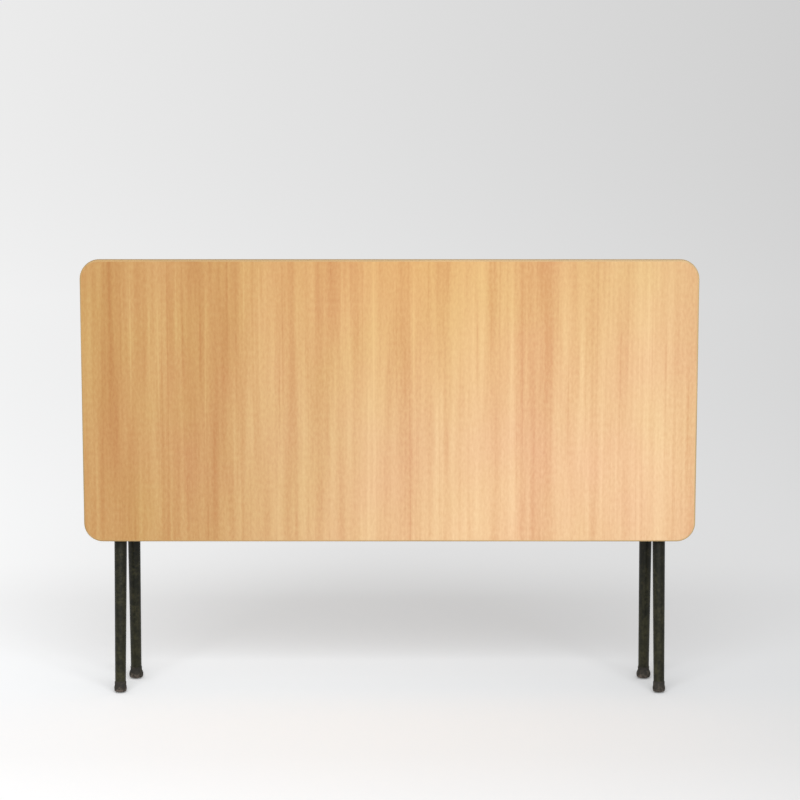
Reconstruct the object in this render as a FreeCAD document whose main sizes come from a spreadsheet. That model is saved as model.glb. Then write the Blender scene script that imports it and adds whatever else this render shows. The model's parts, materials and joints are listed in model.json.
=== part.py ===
"""Folding trestle table with a tip-up top, standing folded.

Two leg frames and the top all turn on one cross tube, the spine. The frame of
outer legs leans forward, the frame of inner legs stands behind it, and the top
hangs upright in front of them. Every piece is drawn about the spine's axis at
its right-hand end, then set at the axis height, and the left one is its mirror.
X runs along the table, Y from front to back and Z up, in millimetres.
"""
import FreeCAD
import Part
import Sketcher
import os
import re
from FreeCAD import Placement, Rotation, Vector

doc = FreeCAD.newDocument("folding_trestle_table")
sheet = doc.addObject("Spreadsheet::Sheet", "sizes")

SIZES = (
    # the top: veneered board with a solid wood lipping
    ("top_width", 1400), ("top_depth", 650), ("top_thickness", 20), ("corner_radius", 43),
    ("veneer_thickness", 0.8), ("veneer_inset", 3.5), ("lipping_width", 5), ("lipping_round", 3),
    # where the shared axis lies: its height, its place in depth, its drop below the top
    ("axis_height", 674), ("axis_depth", 20.404), ("axis_drop", 76),
    # stance of the folded trestles and how far they open
    ("leg_inset", 80), ("leg_pitch", 25.5), ("front_lean", 10.5), ("rear_lean", 0.25),
    ("working_spread", 36.02), ("front_opening", 9),
    # tapered tube legs with a flattened eye at the axis
    ("leg_radius", 15.8), ("leg_end_radius", 12.4), ("leg_wall", 1.6), ("flat_length", 130),
    ("eye_radius", 22), ("eye_thickness", 7), ("neck_margin", 0.3),
    # rubber feet: a sleeve, a bulb and a domed sole
    ("sole_radius", 32), ("front_foot_radius", 14.45), ("rear_foot_radius", 16.45),
    ("front_foot_height", 25), ("rear_foot_height", 28), ("foot_base", 9), ("foot_wall", 1),
    ("bulb_level", 10), ("bulb_rise", 17),
    # cross tubes
    ("spine_radius", 12.5), ("spine_wall", 2), ("plug_length", 42),
    ("stretcher_radius", 10), ("stretcher_wall", 1.5), ("stretcher_reach", 280),
    # pivot stack on each end of the spine
    ("pivot_radius", 5), ("running_fit", 0.05), ("side_play", 0.2),
    ("washer_radius", 14), ("washer_thickness", 2), ("spacer_radius", 11),
    ("head_radius", 11), ("head_height", 6), ("socket_radius", 3.6), ("socket_depth", 3.5),
    # top brackets and the index plates that the lock pins enter
    ("bracket_thickness", 4), ("bracket_length", 220), ("bracket_flange", 40), ("nose_radius", 20),
    ("bend_radius", 4), ("flange_round", 8), ("web_shoulder", 14),
    ("index_radius", 57), ("index_thickness", 4), ("index_margin", 14), ("lock_reach", 45),
    # lock pins in their barrels
    ("lock_radius", 3), ("lock_travel", 6), ("barrel_radius", 7.5), ("barrel_length", 18),
    ("barrel_foot_radius", 11), ("barrel_foot", 2.5), ("knob_radius", 9), ("knob_length", 14),
    # slotted stays between the legs
    ("stay_reach", 200), ("stay_inset", 19.5), ("stay_thickness", 3), ("stay_width", 20),
    ("stud_radius", 4), ("shoulder_radius", 5.5), ("slot_play", 0.25), ("nut_radius", 7.5),
    ("nut_height", 7), ("wing_hub_radius", 7), ("wing_hub", 9), ("wing_span", 17),
    ("wing_height", 11), ("wing_thickness", 2.6),
    # battens that keep the top flat
    ("batten_inset", 110), ("batten_width", 40), ("batten_thickness", 22),
    ("batten_bevel", 14), ("batten_round", 2), ("batten_offset", 150),
    # wood screws
    ("screw_radius", 2.2), ("screw_head_radius", 4.4), ("screw_head", 2.6), ("screw_bite", 12),
    # rubber buffers between the hanging top and the front stretcher
    ("buffer_radius", 11), ("buffer_tip_radius", 8.5), ("buffer_inset", 220), ("buffer_gap", 0.3),
)
for row, (alias, number) in enumerate(SIZES, start=1):
    sheet.set("A%d" % row, alias)
    sheet.set("B%d" % row, str(number))
    sheet.setAlias("B%d" % row, alias)
doc.recompute()
NAMES = {alias for alias, number in SIZES}

# lengths worked out from the cells, used by name inside the expressions below
WORKED_OUT = {
    # planes of the legs and stays, counted from the ends of the top
    "front_leg_x": "top_width / 2 - leg_inset",
    "rear_leg_x": "front_leg_x - leg_pitch",
    "stay_x": "rear_leg_x - stay_inset",
    # from the axis to the centre of each foot's domed sole
    "front_reach": "(axis_height - sole_radius) / cos(front_lean)",
    "rear_reach": "(axis_height - sole_radius) / cos(rear_lean)",
    # the stack on the pivot bolt, from the spine's end outwards
    "spine_half": "rear_leg_x - eye_thickness / 2 - side_play - washer_thickness",
    "spacer_x": "rear_leg_x + eye_thickness / 2 + side_play",
    "spacer_length": "leg_pitch - eye_thickness - 2 * side_play",
    "index_x": "front_leg_x + eye_thickness / 2",
    "bracket_x": "index_x + index_thickness + washer_thickness + 2 * side_play",
    "barrel_x": "bracket_x + bracket_thickness",
    "head_x": "barrel_x + side_play + washer_thickness",
    "knob_x": "barrel_x + barrel_length + lock_travel + side_play",
    # the stack on the stay studs, from the stay inwards
    "stay_face": "stay_x - stay_thickness / 2",
    "nut_x": "stay_face - side_play - nut_height",
    "wing_x": "stay_face - side_play - wing_hub",
    # where the rear stud stands in the stay's slot, folded and working
    "slot_start": "2 * stay_reach * sin((front_lean + rear_lean) / 2)",
    "slot_end": "2 * stay_reach * sin(working_spread / 2)",
    "slot_radius": "stud_radius + slot_play",
    # the rest of the top
    "top_tilt": "90 - front_opening",
    "batten_half": "top_width / 2 - batten_inset",
    "nose_reach": "axis_drop + nose_radius * 0.78",
    "stretcher_front": "stretcher_reach * sin(front_lean) + stretcher_radius / cos(front_lean)",
    "buffer_length": "axis_drop - stretcher_front - buffer_gap",
}


def sized(text):
    """Point every cell named in an expression at the sheet, and write out the worked-out lengths."""
    def spell(word):
        name = word.group(0)
        if name in WORKED_OUT:
            return "(%s)" % sized(WORKED_OUT[name])
        return "sizes." + name if name in NAMES else name
    return re.sub(r"[a-z_]+", spell, text)


def bind(obj, **cells):
    for name, text in cells.items():
        obj.setExpression(name, sized(text))
    return obj


def place(obj, x="0", y="0", z="0", turn=None, axis=(1, 0, 0)):
    """Set an object by expressions: a move, and a turn about one axis."""
    if turn is not None:
        obj.Placement = Placement(Vector(), Rotation(Vector(*axis), 30))
        obj.setExpression("Placement.Rotation.Angle", sized(turn))
    for letter, text in (("x", x), ("y", y), ("z", z)):
        obj.setExpression("Placement.Base." + letter, sized(text))
    return obj


ALONG_X = dict(turn="90", axis=(0, 1, 0))
INWARD_X = dict(turn="90", axis=(0, -1, 0))
ALONG_Y = dict(turn="90", axis=(-1, 0, 0))


def block(name, length, width, height, **at):
    return place(bind(doc.addObject("Part::Box", name), Length=length, Width=width, Height=height), **at)


def rod(name, radius, length, **at):
    return place(bind(doc.addObject("Part::Cylinder", name), Radius=radius, Height=length), **at)


def taper(name, first, last, length, **at):
    cone = bind(doc.addObject("Part::Cone", name), Radius1=first, Radius2=last, Height=length)
    return place(cone, **at)


def hexagon(name, radius, length, **at):
    prism = bind(doc.addObject("Part::Prism", name), Circumradius=radius, Height=length)
    prism.Polygon = 6
    return place(prism, **at)


def join(name, *pieces):
    fused = doc.addObject("Part::MultiFuse", name)
    fused.Shapes = list(pieces)
    fused.Refine = True
    return fused


def cut(name, base, *tools):
    result = doc.addObject("Part::Cut", name)
    result.Base = base
    result.Tool = tools[0] if len(tools) == 1 else join(name + "_tools", *tools)
    result.Refine = True
    return result


def common(name, base, tool):
    shared = doc.addObject("Part::Common", name)
    shared.Base = base
    shared.Tool = tool
    return shared


def dome(name, radius, height, **at):
    """A domed head, flat side first."""
    ball_radius = "((%s)^2 + (%s)^2) / (2 * (%s))" % (radius, height, height)
    ball = bind(doc.addObject("Part::Sphere", name + "_ball"), Radius=ball_radius)
    place(ball, z="%s - %s" % (height, ball_radius))
    return place(common(name, rod(name + "_blank", radius, height), ball), **at)


def group(name, *pieces):
    compound = doc.addObject("Part::Compound", name)
    compound.Links = list(pieces)
    return compound


def mirror(name, source, normal=(1, 0, 0)):
    """A piece's twin, by default the left-hand one of a right-hand piece."""
    twin = doc.addObject("Part::Mirroring", name)
    twin.Source = source
    twin.Normal = Vector(*normal)
    return twin


def on_axis(piece, x="0", **lean):
    """Set a finished piece at the spine's axis, leaned about it where it rides on a leg."""
    return place(piece, x=x, y="axis_depth", z="axis_height", **lean)


FRONT = dict(turn="front_lean", axis=(-1, 0, 0))
REAR = dict(turn="rear_lean", axis=(1, 0, 0))


def outline(body, name, role, corners):
    """A closed sketch. Each corner is (rough x, exact x, rough y, exact y), and its exact
    distances from the origin are expressions, taken on the side of the rough numbers."""
    sketch = body.newObject("Sketcher::SketchObject", name)
    plane = [feature for feature in body.Origin.OriginFeatures if feature.Role == role][0]
    sketch.AttachmentSupport = (plane, "")
    sketch.MapMode = "FlatFace"
    rough = [Vector(corner[0], corner[2], 0) for corner in corners]
    count = len(corners)
    for index in range(count):
        sketch.addGeometry(Part.LineSegment(rough[index], rough[(index + 1) % count]))
    for index in range(count):
        sketch.addConstraint(Sketcher.Constraint("Coincident", index, 2, (index + 1) % count, 1))
    for index, (across, exact_across, up, exact_up) in enumerate(corners):
        sides = (("DistanceX", -2, across, exact_across), ("DistanceY", -1, up, exact_up))
        for kind, line, near, exact in sides:
            if near == 0:
                sketch.addConstraint(Sketcher.Constraint("PointOnObject", index, 1, line))
                continue
            ends = (-1, 1, index, 1) if near > 0 else (index, 1, -1, 1)
            key = sketch.addConstraint(Sketcher.Constraint(kind, *ends, float(abs(near))))
            sketch.setExpression("Constraints[%d]" % key, sized(exact))
    return sketch


def padded(name, role, corners, length, midplane=False):
    """A body with one padded outline."""
    body = doc.addObject("PartDesign::Body", name)
    pad = body.newObject("PartDesign::Pad", name + "_pad")
    pad.Profile = outline(body, name + "_outline", role, corners)
    pad.Midplane = midplane
    bind(pad, Length=length)
    body.Tip = pad
    return body, pad


def rounded(body, name, base, radius, wanted):
    """A fillet on the edges of a body's last feature that the test picks."""
    doc.recompute()
    picked = ["Edge%d" % index for index, edge in enumerate(base.Shape.Edges, start=1) if wanted(edge)]
    fillet = body.newObject("PartDesign::Fillet", name)
    fillet.Base = (base, picked)
    bind(fillet, Radius=radius)
    body.Tip = fillet
    return fillet


def slab(name, inset, thickness, front, rim=None):
    """A board with rounded corners, upright across the front, inset from the top's outline.
    Its front face lies at the given distance in front of the axis."""
    half_width = "top_width / 2 - " + inset
    half_depth = "top_depth / 2 - " + inset
    corners = [(right * 700, half_width, up * 325, half_depth)
               for right, up in ((-1, -1), (1, -1), (1, 1), (-1, 1))]
    body, pad = padded(name, "XZ_Plane", corners, thickness)
    pad.Reversed = True
    last = rounded(body, name + "_corners", pad, "corner_radius - " + inset,
                   lambda edge: edge.BoundBox.YLength > 0.1)
    if rim:
        rounded(body, name + "_rim", last, rim, lambda edge: edge.BoundBox.YLength < 0.1)
    return place(body, y="-(%s)" % front)


nodes = []


def keep(*pieces):
    nodes.extend(pieces)


# Wood screws: countersunk ones hold the battens, round-headed ones the brackets. All are
# driven from behind into the board, and their own solids cut their holes.
def batten_screw(name, x, z):
    shank = rod(name + "_shank", "screw_radius", "screw_bite + batten_thickness",
                x=x, y="-axis_drop - screw_bite", z=z, **ALONG_Y)
    head = taper(name + "_head", "screw_radius", "screw_head_radius", "screw_head",
                 x=x, y="batten_thickness - axis_drop - screw_head", z=z, **ALONG_Y)
    return join(name, shank, head)


def bracket_screw(name, x, z):
    shank = rod(name + "_shank", "screw_radius", "screw_bite + bracket_thickness",
                x=x, y="-axis_drop - screw_bite", z=z, **ALONG_Y)
    head = dome(name + "_head", "screw_head_radius", "screw_head",
                x=x, y="bracket_thickness - axis_drop", z=z, **ALONG_Y)
    return join(name, shank, head)


batten_sides = {"front": "-batten_offset", "back": "batten_offset"}
batten_screw_rows = {
    side: [batten_screw("batten_screw_%s_%d" % (side, index), "batten_half * " + part, level)
           for index, part in enumerate(("-0.86", "-0.3", "0.3", "0.86"))]
    for side, level in batten_sides.items()}
flange_screws = group("flange_screws_right", *[
    bracket_screw("flange_screw_%d" % index, "bracket_x + bracket_flange * 0.62", "bracket_length * " + part)
    for index, part in enumerate(("-0.43", "-0.2", "0.2", "0.43"))])
flange_screws_left = mirror("flange_screws_left", flange_screws)
batten_screws = group("batten_screws", *batten_screw_rows["front"], *batten_screw_rows["back"])
bracket_screws = group("bracket_screws", flange_screws, flange_screws_left)
board_pilots = group("board_pilots", *batten_screw_rows["front"], *batten_screw_rows["back"],
                     flange_screws, flange_screws_left)
keep(on_axis(batten_screws), on_axis(bracket_screws))

# Top: a core board ringed by a solid lipping, with a veneer laid over both on each side. The
# lipping's outer edges are eased up to the veneers.
core = slab("core_blank", "lipping_width", "top_thickness - 2 * veneer_thickness",
            "axis_drop + top_thickness - veneer_thickness")
face = slab("face_blank", "veneer_inset", "veneer_thickness", "axis_drop + top_thickness")
backing = slab("backing_blank", "veneer_inset", "veneer_thickness", "axis_drop + veneer_thickness")
lipping_blank = slab("lipping_blank", "0", "top_thickness", "axis_drop + top_thickness",
                     rim="lipping_round")
lipping_hollow = slab("lipping_hollow", "lipping_width", "top_thickness", "axis_drop + top_thickness")
top_board = cut("top_board", core, board_pilots)
face_veneer = group("face_veneer", face)
backing_veneer = cut("backing_veneer", backing, board_pilots)
edge_lipping = cut("edge_lipping", lipping_blank, lipping_hollow, face, backing)
for layer in (top_board, face_veneer, backing_veneer, edge_lipping):
    keep(on_axis(layer))

# Battens: two rails screwed along the underside, with bevelled ends and eased long edges.
batten_top = sheet.get("batten_thickness")
for side, level in batten_sides.items():
    blank, pad = padded("batten_%s_blank" % side, "XY_Plane", (
        (-590, "batten_half", 0, "0"), (590, "batten_half", 0, "0"),
        (576, "batten_half - batten_bevel", 22, "batten_thickness"),
        (-576, "batten_half - batten_bevel", 22, "batten_thickness")), "batten_width", midplane=True)
    rounded(blank, "batten_%s_edges" % side, pad, "batten_round",
            lambda edge: edge.BoundBox.XLength > 30 and edge.BoundBox.YMin > batten_top - 0.1)
    place(blank, y="-axis_drop", z=level)
    keep(on_axis(cut("batten_" + side, blank, group("batten_holes_" + side, *batten_screw_rows[side]))))

# Buffers: rubber cones on the underside that the hanging top leans on the front stretcher with.
buffer_right = taper("buffer_right", "buffer_radius", "buffer_tip_radius", "buffer_length",
                     x="front_leg_x - buffer_inset", y="-axis_drop", z="-stretcher_reach * cos(front_lean)",
                     **ALONG_Y)
keep(on_axis(group("rest_buffers", buffer_right, mirror("buffer_left", buffer_right))))

# Top brackets: folded plate. The flange is screwed under the top, and the web, from a shoulder
# above the bend, narrows to a round nose on the axis.
plate = sheet.get("bracket_thickness")
flange_end = sheet.get("bracket_flange")


def upright_at(edge, x, y):
    """True for an edge along Z through the point x, y."""
    middle = edge.CenterOfMass
    return edge.BoundBox.ZLength > 1 and abs(middle.x - x) < 0.1 and abs(middle.y - y) < 0.1


angle, angle_pad = padded("bracket_angle", "XY_Plane", (
    (0, "0", 0, "0"), (40, "bracket_flange", 0, "0"), (40, "bracket_flange", 4, "bracket_thickness"),
    (4, "bracket_thickness", 4, "bracket_thickness"), (4, "bracket_thickness", 91.6, "nose_reach"),
    (0, "0", 91.6, "nose_reach")), "bracket_length", midplane=True)
inside_bend = rounded(angle, "inside_bend", angle_pad, "bend_radius",
                      lambda edge: upright_at(edge, plate, plate))
outside_bend = rounded(angle, "outside_bend", inside_bend, "bend_radius + bracket_thickness",
                       lambda edge: upright_at(edge, 0, 0))
rounded(angle, "flange_corners", outside_bend, "flange_round",
        lambda edge: edge.BoundBox.ZLength < 0.1 and edge.BoundBox.XMin > flange_end - 0.1)
waste, waste_pad = padded("web_waste", "YZ_Plane", (
    (14, "web_shoulder", 110, "bracket_length / 2"), (91.6, "nose_reach", 12.4, "nose_radius * 0.62"),
    (91.6, "nose_reach", 110, "bracket_length / 2")), "bracket_thickness")
for blank in (angle, waste):
    place(blank, x="bracket_x", y="-axis_drop")
trimmed = cut("bracket_trimmed", angle, waste, mirror("web_waste_below", waste, normal=(0, 0, 1)))
nose = rod("bracket_nose", "nose_radius", "bracket_thickness", x="bracket_x", **ALONG_X)
bracket_right = cut(
    "top_bracket_right", join("bracket_blank", trimmed, nose), flange_screws,
    rod("bracket_bore", "pivot_radius + running_fit", "bracket_thickness", x="bracket_x", **ALONG_X),
    rod("bracket_lock_hole", "lock_radius + running_fit", "bracket_thickness",
        x="bracket_x", y="-lock_reach", **ALONG_X))
on_axis(bracket_right)
keep(bracket_right, mirror("top_bracket_left", bracket_right))

# Locks: a barrel on each bracket guides a pin that is pushed into the index plate by its knob.
barrel = cut(
    "lock_barrel_right",
    join("barrel_blank",
         rod("barrel_tube", "barrel_radius", "barrel_length", x="barrel_x", y="-lock_reach", **ALONG_X),
         rod("barrel_flange", "barrel_foot_radius", "barrel_foot", x="barrel_x", y="-lock_reach", **ALONG_X)),
    rod("barrel_bore", "lock_radius + running_fit", "barrel_length",
        x="barrel_x", y="-lock_reach", **ALONG_X))
pin = rod("lock_pin_right", "lock_radius",
          "bracket_thickness + barrel_length + lock_travel + knob_length * 0.7 - side_play",
          x="bracket_x + 2 * side_play", y="axis_depth - lock_reach", z="axis_height", **ALONG_X)
knob = cut(
    "lock_knob_right",
    join("knob_blank",
         taper("knob_collar", "knob_radius * 0.66", "knob_radius", "knob_length * 0.25",
               x="knob_x", y="-lock_reach", **ALONG_X),
         rod("knob_grip", "knob_radius", "knob_length * 0.45",
             x="knob_x + knob_length * 0.25", y="-lock_reach", **ALONG_X),
         dome("knob_crown", "knob_radius", "knob_length * 0.3",
              x="knob_x + knob_length * 0.7", y="-lock_reach", **ALONG_X)),
    rod("knob_bore", "lock_radius", "knob_length * 0.7", x="knob_x", y="-lock_reach", **ALONG_X))
for piece in (on_axis(barrel), pin, on_axis(knob)):
    keep(piece, mirror(piece.Name.replace("right", "left"), piece))

# Spine: the cross tube with a threaded plug in each end.
spine = cut("spine_tube",
            rod("spine_bar", "spine_radius", "2 * spine_half", x="-spine_half", **ALONG_X),
            rod("spine_bore", "spine_radius - spine_wall", "2 * spine_half", x="-spine_half", **ALONG_X))
plug = cut("spine_plug_right",
           rod("plug_bar", "spine_radius - spine_wall", "plug_length",
               x="spine_half - plug_length", **ALONG_X),
           rod("plug_thread", "pivot_radius", "plug_length",
               x="spine_half - plug_length", **ALONG_X))
keep(on_axis(spine), on_axis(group("spine_plugs", plug, mirror("spine_plug_left", plug))))

# Pivot stack: bolt, spacer between the two leg eyes, and a washer beside each turning piece.
bolt = cut(
    "pivot_bolt_right",
    join("bolt_blank",
         rod("bolt_shank", "pivot_radius", "head_x - spine_half + plug_length * 0.8",
             x="spine_half - plug_length * 0.8", **ALONG_X),
         dome("bolt_head", "head_radius", "head_height", x="head_x", **ALONG_X)),
    hexagon("bolt_socket", "socket_radius", "socket_depth",
            x="head_x + head_height - socket_depth", **ALONG_X))
spacer = cut("eye_spacer_right",
             rod("spacer_bar", "spacer_radius", "spacer_length", x="spacer_x", **ALONG_X),
             rod("spacer_bore", "pivot_radius", "spacer_length", x="spacer_x", **ALONG_X))
washers = [
    cut("washer_" + name,
        rod("washer_disc_" + name, "washer_radius", "washer_thickness", x=start, **ALONG_X),
        rod("washer_bore_" + name, "pivot_radius", "washer_thickness", x=start, **ALONG_X))
    for name, start in (("spine", "spine_half"), ("index", "index_x + index_thickness + side_play"),
                        ("bracket", "barrel_x + side_play"))]
washer_set = group("washer_set_right", *washers)
keep(on_axis(group("pivot_bolts", bolt, mirror("pivot_bolt_left", bolt))))
keep(on_axis(group("eye_spacers", spacer, mirror("eye_spacer_left", spacer))))
keep(on_axis(group("thrust_washers", washer_set, mirror("washer_set_left", washer_set))))


# Legs: one tapered tube each, pressed flat towards the axis and drilled there.
def shaft(name, reach, wall, x="0"):
    """The tapered round length of a leg, less a wall thickness, about the leg's own axis."""
    end = "(%s + sole_radius - foot_base)" % reach
    return taper(name, "leg_end_radius - " + wall, "leg_radius - " + wall, end + " - flat_length",
                 x=x, z="-" + end)


def leg(name, reach):
    sections = []
    stations = (("1", "0"), ("0.76", "0.28"), ("0.46", "0.8"), ("0.22", "0.98"), ("0", "1"))
    for index, (below, flat) in enumerate(stations):
        ring = bind(doc.addObject("Part::Ellipse", "%s_section_%d" % (name, index)),
                    MajorRadius="leg_radius + (eye_radius - neck_margin - leg_radius) * " + flat,
                    MinorRadius="leg_radius - (leg_radius - eye_thickness / 2 + neck_margin) * " + flat)
        sections.append(place(ring, z="-flat_length * " + below, turn="90", axis=(0, 0, 1)))
    neck = doc.addObject("Part::Loft", name + "_neck")
    neck.Sections = sections
    neck.Solid = True
    eye = rod(name + "_eye", "eye_radius", "eye_thickness", x="-eye_thickness / 2", **ALONG_X)
    blank = join(name + "_blank", shaft(name + "_shaft", reach, "0"), neck, eye)
    bore = rod(name + "_bore", "pivot_radius + running_fit", "3 * eye_thickness",
               x="-1.5 * eye_thickness", **ALONG_X)
    return cut(name, blank, bore, shaft(name + "_hollow", reach, "leg_wall"))


def foot(name, reach, radius, height):
    """A rubber ferrule over the leg's end, a sleeve that swells into a bulb. Its sole is part of
    a sphere about a point on the leg's axis, so it meets the floor at one height however far
    the leg leans."""
    level = "bulb_level - %s - sole_radius" % reach
    bulb = bind(doc.addObject("Part::Ellipsoid", name + "_bulb"),
                Radius1="bulb_rise", Radius2=radius, Radius3=radius)
    place(bulb, z=level)
    ball = bind(doc.addObject("Part::Sphere", name + "_ball"), Radius="sole_radius")
    place(ball, z="-" + reach)
    sleeve = rod(name + "_sleeve", "leg_end_radius + foot_wall", height + " - bulb_level", z=level)
    blank = join(name + "_blank", common(name + "_sole", bulb, ball), sleeve)
    return cut(name, blank, shaft(name + "_socket", reach, "0"))


def stretcher(name, reach, leg_x):
    """A tube between the two legs of a frame, its ends coped to their sides."""
    bar = rod(name + "_bar", "stretcher_radius", "2 * " + leg_x,
              x="-" + leg_x, z="-stretcher_reach", **ALONG_X)
    bore = rod(name + "_bore", "stretcher_radius - stretcher_wall", "2 * " + leg_x,
               x="-" + leg_x, z="-stretcher_reach", **ALONG_X)
    return cut(name, bar, bore, shaft(name + "_cope_right", reach, "0", x=leg_x),
               shaft(name + "_cope_left", reach, "0", x="-" + leg_x))


def stud(name, reach, leg_x, overhang):
    """A shouldered stud from a leg's inner side through the plane of the stay."""
    shoulder_x = "stay_x + stay_thickness / 2 + side_play"
    neck_x = "stay_face - side_play - " + overhang
    shoulder = rod(name + "_shoulder", "shoulder_radius", "%s - (%s)" % (leg_x, shoulder_x),
                   x=shoulder_x, z="-stay_reach", **ALONG_X)
    neck = rod(name + "_neck", "stud_radius", "%s - (%s)" % (shoulder_x, neck_x),
               x=neck_x, z="-stay_reach", **ALONG_X)
    return cut(name, join(name + "_blank", shoulder, neck), shaft(name + "_cope", reach, "0", x=leg_x))


for frame, lean in (("front", FRONT), ("rear", REAR)):
    reach = frame + "_reach"
    leg_x = frame + "_leg_x"
    ferrule = foot(frame + "_foot_right", reach, frame + "_foot_radius", frame + "_foot_height")
    for piece in (leg(frame + "_leg_right", reach), ferrule):
        on_axis(piece, x=leg_x, **lean)
        keep(piece, mirror(piece.Name.replace("right", "left"), piece))
    keep(on_axis(stretcher(frame + "_stretcher", reach, leg_x), **lean))

# Index plates: quadrants welded to the front legs' eyes, drilled for the top's two positions.
quadrant = cut(
    "quadrant",
    rod("quadrant_disc", "index_radius", "index_thickness", x="index_x", **ALONG_X),
    block("quadrant_below", "index_thickness", "3 * index_radius", "index_radius",
          x="index_x", y="-1.5 * index_radius", z="-index_radius - index_margin"),
    block("quadrant_behind", "index_thickness", "index_radius", "3 * index_radius",
          x="index_x", y="index_margin", z="-1.5 * index_radius"))
index_right = cut(
    "index_plate_right",
    join("index_blank", quadrant, rod("index_hub", "eye_radius", "index_thickness", x="index_x", **ALONG_X)),
    rod("index_bore", "pivot_radius + running_fit", "index_thickness", x="index_x", **ALONG_X),
    rod("index_folded_hole", "lock_radius + running_fit", "index_thickness",
        x="index_x", y="-lock_reach", **ALONG_X),
    rod("index_level_hole", "lock_radius + running_fit", "index_thickness",
        x="index_x", y="-lock_reach * cos(top_tilt)", z="lock_reach * sin(top_tilt)", **ALONG_X))
on_axis(index_right)
keep(index_right, mirror("index_plate_left", index_right))

# Stays: a slotted strip on each side turns on a stud of the front leg, and the rear leg's
# stud slides in its slot between the folded and the working spread.
front_stud = stud("front_stud_right", "front_reach", "front_leg_x", "nut_height * 0.7")
rear_stud = stud("rear_stud_right", "rear_reach", "rear_leg_x", "wing_hub * 1.5")
keep(on_axis(group("stay_pivots", front_stud, mirror("front_stud_left", front_stud)), **FRONT))
keep(on_axis(group("stay_studs", rear_stud, mirror("rear_stud_left", rear_stud)), **REAR))
cap_nut = cut(
    "cap_nut_right",
    join("cap_nut_blank",
         hexagon("cap_nut_hexagon", "nut_radius", "nut_height", x="nut_x", z="-stay_reach", **ALONG_X),
         dome("cap_nut_crown", "nut_radius * 0.8", "nut_height * 0.6",
              x="nut_x", z="-stay_reach", **INWARD_X)),
    rod("cap_nut_thread", "stud_radius", "nut_height * 0.7",
        x="nut_x + nut_height * 0.3", z="-stay_reach", **ALONG_X))
keep(on_axis(group("cap_nuts", cap_nut, mirror("cap_nut_left", cap_nut)), **FRONT))

stay = cut(
    "stay_right",
    join("stay_blank",
         block("stay_strip", "stay_thickness", "slot_end", "stay_width", x="stay_face", z="-stay_width / 2"),
         rod("stay_front_end", "stay_width / 2", "stay_thickness", x="stay_face", **ALONG_X),
         rod("stay_back_end", "stay_width / 2", "stay_thickness", x="stay_face", y="slot_end", **ALONG_X)),
    rod("stay_eye", "stud_radius + running_fit", "stay_thickness", x="stay_face", **ALONG_X),
    rod("slot_folded_end", "slot_radius", "stay_thickness", x="stay_face", y="slot_start", **ALONG_X),
    rod("slot_working_end", "slot_radius", "stay_thickness", x="stay_face", y="slot_end", **ALONG_X),
    block("slot_middle", "stay_thickness", "slot_end - slot_start", "2 * slot_radius",
          x="stay_face", y="slot_start", z="-slot_radius"))
place(stay, y="axis_depth - stay_reach * sin(front_lean)", z="axis_height - stay_reach * cos(front_lean)",
      turn="(front_lean - rear_lean) / 2", axis=(-1, 0, 0))
keep(stay, mirror("stay_left", stay))

# Wing nuts: turned by hand on the rear studs to clamp the stays. The hub is conical, and the
# wings are a bar with round ears.
wing_parts = [taper("wing_hub_right", "wing_hub_radius * 0.75", "wing_hub_radius", "wing_hub",
                    x="wing_x", z="-stay_reach", **ALONG_X),
              block("wing_bar", "wing_height * 0.6", "2 * wing_span - wing_height", "wing_thickness",
                    x="wing_x", y="wing_height / 2 - wing_span", z="-stay_reach - wing_thickness / 2")]
for side, sign in (("front", "-"), ("back", "")):
    wing_parts.append(rod("wing_tip_" + side, "wing_height / 2", "wing_thickness",
                          x="wing_x + wing_height * 0.1", y="%s(wing_span - wing_height / 2)" % sign,
                          z="-stay_reach - wing_thickness / 2"))
wing_nut = cut("wing_nut_right", join("wing_blank", *wing_parts),
               rod("wing_bore", "stud_radius + running_fit", "3 * wing_hub",
                   x="wing_x - wing_hub", z="-stay_reach", **ALONG_X))
on_axis(wing_nut, **REAR)
keep(wing_nut, mirror("wing_nut_left", wing_nut))

doc.recompute()
for obj in doc.Objects:
    if "Invalid" in obj.State or "Error" in obj.State:
        raise RuntimeError("%s did not build" % obj.Name)
os.makedirs("parts", exist_ok=True)
for node in nodes:
    node.Label = node.Name
    if node.Shape.isNull() or not node.Shape.isValid():
        raise RuntimeError("%s is not a valid shape" % node.Name)
    node.Shape.exportStep("parts/%s.step" % node.Label)
    print(node.Label, len(node.Shape.Solids), "solids", round(node.Shape.Volume, 1), "mm3")
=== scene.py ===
"""Looks of the folding trestle table, put together in the order the real one is.

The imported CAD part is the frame. Each section below dresses one piece or one group of
like pieces, in metres, with Z up and the table's front towards -Y.
"""
import json
import math

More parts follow.
